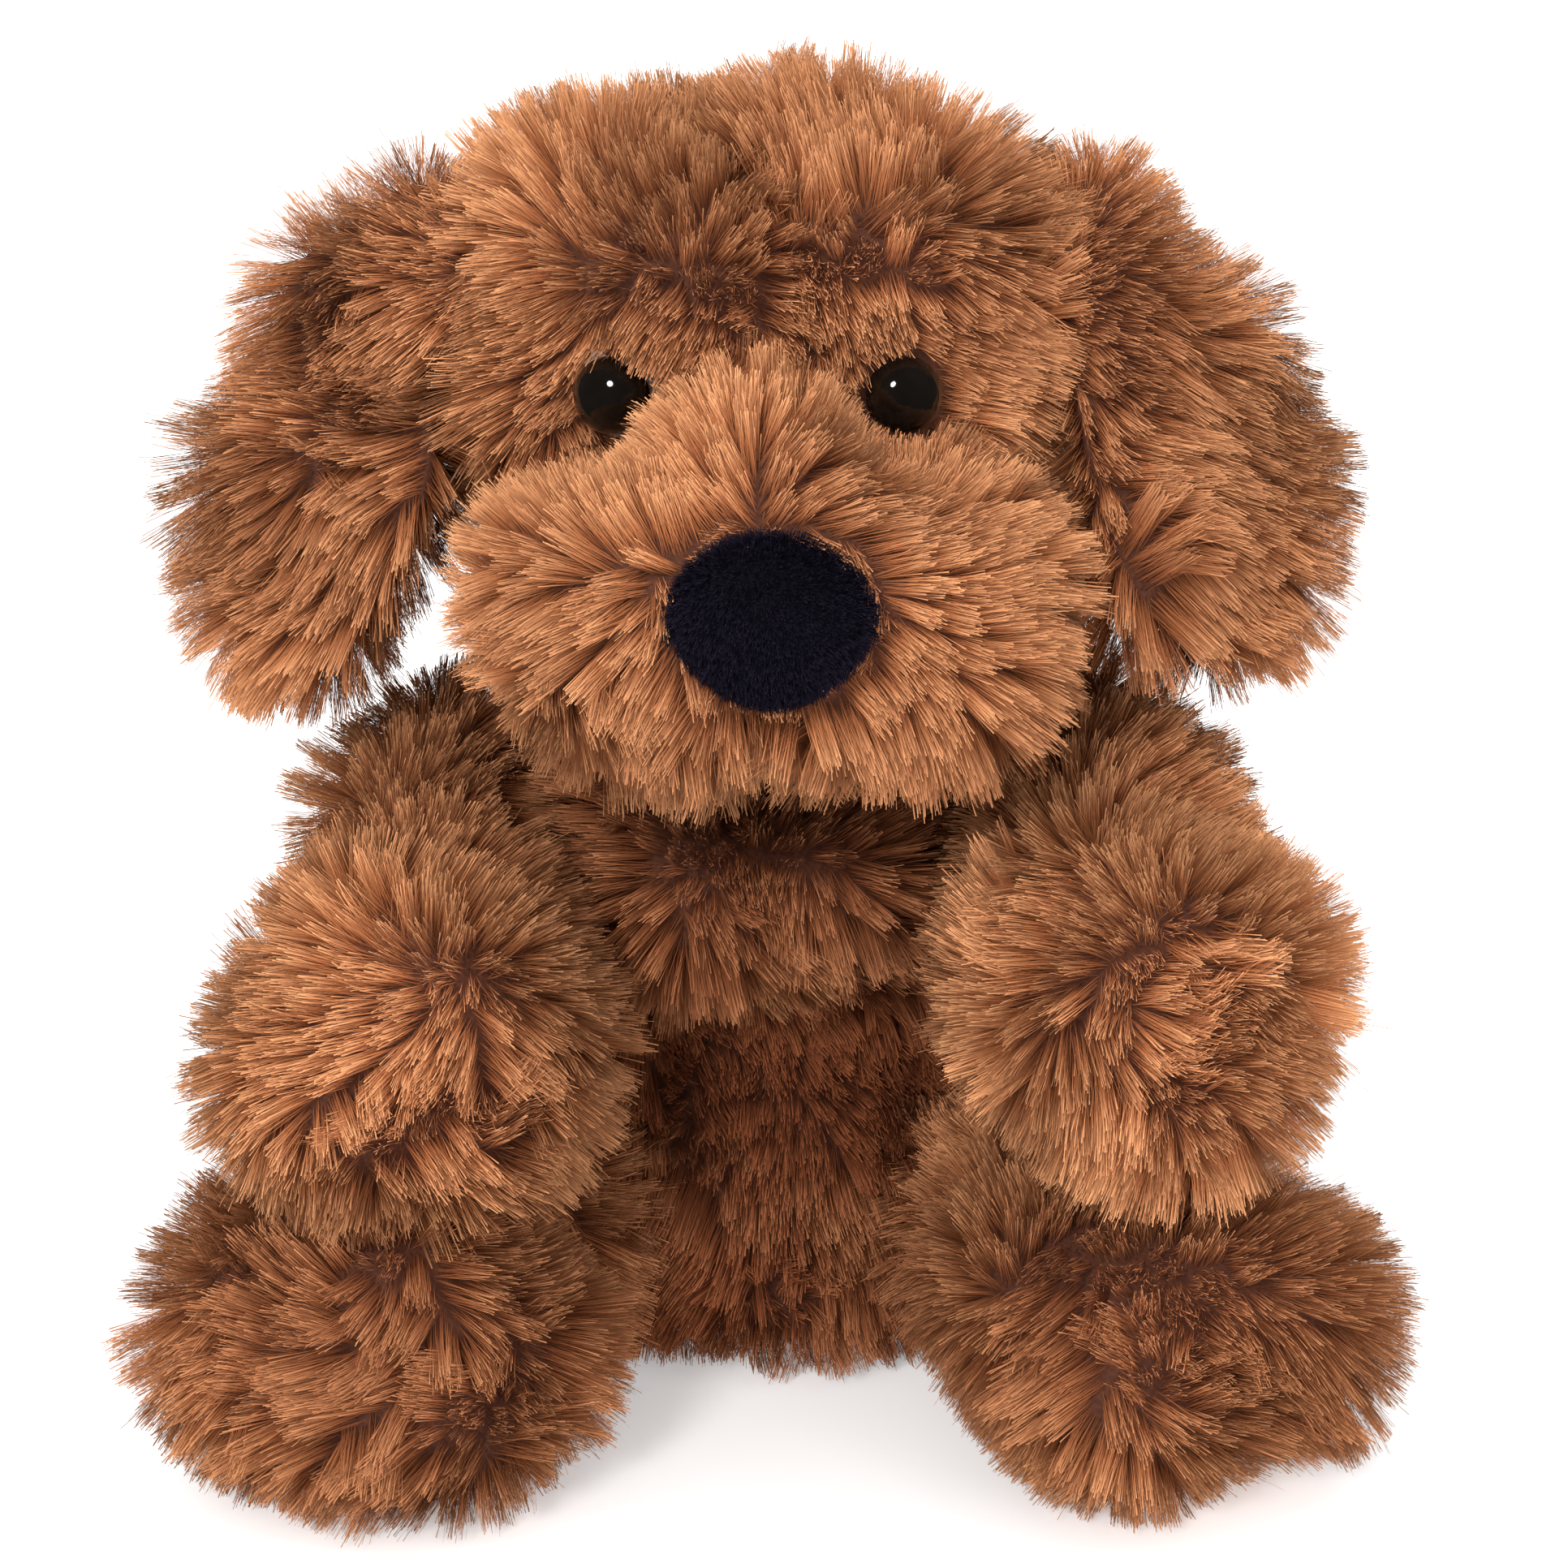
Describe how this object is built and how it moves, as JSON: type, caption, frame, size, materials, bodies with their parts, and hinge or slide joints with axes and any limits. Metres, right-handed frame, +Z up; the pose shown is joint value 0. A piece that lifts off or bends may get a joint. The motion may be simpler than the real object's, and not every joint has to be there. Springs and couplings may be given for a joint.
{
  "type": "plush dog",
  "caption": "Long-pile plush dog sitting with its legs forward, with a drooping head, hanging ears, a velour nose, glossy eyes and limbs that flop at sewn joints.",
  "frame": {"origin": "middle of the flat seat panel, on the surface the dog sits on", "axes": "+Z up, the dog looks along -Y, +X is the dog's own left"},
  "size_m": [0.1938, 0.1762, 0.215],
  "materials": {
    "fur": "long-pile plush fur fabric, caramel tips over red-brown roots, clumped into brush-like tufts",
    "backing": "knitted backing cloth, turned-in seam allowance",
    "eye": "polished black moulded safety eye",
    "washer": "white push-on locking washer",
    "nose": "blue-black short velour",
    "filling": "loose white polyester fibre",
    "pouch": "plain woven lining cloth",
    "pellets": "small plastic weighting pellets",
    "label": "blank white woven satin tape",
    "thread": "brown polyester sewing thread"
  },
  "bodies": {
    "torso": {"chest_panel": "fur", "belly_panel": "fur", "back_panel_left": "fur", "back_panel_right": "fur", "seat_panel": "fur", "torso_filling": "filling", "seat_pouch": "pouch", "seat_pellets": "pellets", "closing_stitches": "thread", "care_label": "label"},
    "neck": {"neck_filling": "filling"},
    "head": {"head_gusset": "fur", "head_side_left": "fur", "head_side_right": "fur", "head_filling": "filling", "muzzle_bridge": "fur", "muzzle_side_left": "fur", "muzzle_side_right": "fur", "chin_panel": "fur", "muzzle_filling": "filling", "nose_cover": "nose", "nose_padding": "filling", "eye_left": "eye", "eye_right": "eye", "eye_washer_left": "washer", "eye_washer_right": "washer"},
    "tail": {"tail_skin": "fur", "tail_filling": "filling"},
    "ear_left": {"ear_outer_left": "fur", "ear_lining_left": "fur"},
    "arm_root_left": {"arm_seam_left": "backing"},
    "arm_left": {"arm_outer_left": "fur", "arm_inner_left": "fur", "arm_filling_left": "filling"},
    "leg_root_left": {"leg_seam_left": "backing"},
    "leg_left": {"leg_outer_left": "fur", "leg_inner_left": "fur", "sole_left": "fur", "leg_filling_left": "filling", "foot_pouch_left": "pouch", "foot_pellets_left": "pellets"},
    "ear_right": {"ear_outer_right": "fur", "ear_lining_right": "fur"},
    "arm_root_right": {"arm_seam_right": "backing"},
    "arm_right": {"arm_outer_right": "fur", "arm_inner_right": "fur", "arm_filling_right": "filling"},
    "leg_root_right": {"leg_seam_right": "backing"},
    "leg_right": {"leg_outer_right": "fur", "leg_inner_right": "fur", "sole_right": "fur", "leg_filling_right": "filling", "foot_pouch_right": "pouch", "foot_pellets_right": "pellets"}
  },
  "joints": [
    {"name": "neck_turn", "type": "hinge", "parent": "torso", "child": "neck", "pos_m": [0, -0.003, 0.121], "axis": [0, 0, 1], "range_deg": [-20, 20]},
    {"name": "head_nod", "type": "hinge", "parent": "neck", "child": "head", "pos_m": [0, -0.003, 0.121], "axis": [-1, 0, 0], "range_deg": [-8, 18]},
    {"name": "tail_wag", "type": "hinge", "parent": "torso", "child": "tail", "pos_m": [0, 0.0455, 0.024], "axis": [0, 0, 1], "range_deg": [-24, 24]},
    {"name": "ear_lift_left", "type": "hinge", "parent": "head", "child": "ear_left", "pos_m": [0.0526, -0.01, 0.194], "axis": [-0.629, -0.7496, -0.206], "range_deg": [0, 50]},
    {"name": "ear_lift_right", "type": "hinge", "parent": "head", "child": "ear_right", "pos_m": [-0.0526, -0.01, 0.194], "axis": [-0.629, 0.7496, 0.206], "range_deg": [0, 50]},
    {"name": "arm_spread_left", "type": "hinge", "parent": "torso", "child": "arm_root_left", "pos_m": [0.05, -0.005, 0.098], "axis": [0, 0, 1], "range_deg": [0, 30]},
    {"name": "arm_raise_left", "type": "hinge", "parent": "arm_root_left", "child": "arm_left", "pos_m": [0.05, -0.005, 0.098], "axis": [-0.8924, 0, 0.4512], "range_deg": [0, 30]},
    {"name": "arm_spread_right", "type": "hinge", "parent": "torso", "child": "arm_root_right", "pos_m": [-0.048, -0.005, 0.096], "axis": [0, 0, -1], "range_deg": [0, 30]},
    {"name": "arm_raise_right", "type": "hinge", "parent": "arm_root_right", "child": "arm_right", "pos_m": [-0.048, -0.005, 0.096], "axis": [-0.8924, 0, -0.4512], "range_deg": [0, 30]},
    {"name": "leg_splay_left", "type": "hinge", "parent": "torso", "child": "leg_root_left", "pos_m": [0.037, -0.015, 0.027], "axis": [0, 0, 1], "range_deg": [-8, 20]},
    {"name": "leg_drop_left", "type": "hinge", "parent": "leg_root_left", "child": "leg_left", "pos_m": [0.037, -0.015, 0.027], "axis": [1, 0, 0], "range_deg": [0, 33]},
    {"name": "leg_splay_right", "type": "hinge", "parent": "torso", "child": "leg_root_right", "pos_m": [-0.038, -0.015, 0.027], "axis": [0, 0, -1], "range_deg": [-8, 20]},
    {"name": "leg_drop_right", "type": "hinge", "parent": "leg_root_right", "child": "leg_right", "pos_m": [-0.038, -0.015, 0.027], "axis": [1, 0, 0], "range_deg": [0, 33]}
  ]
}
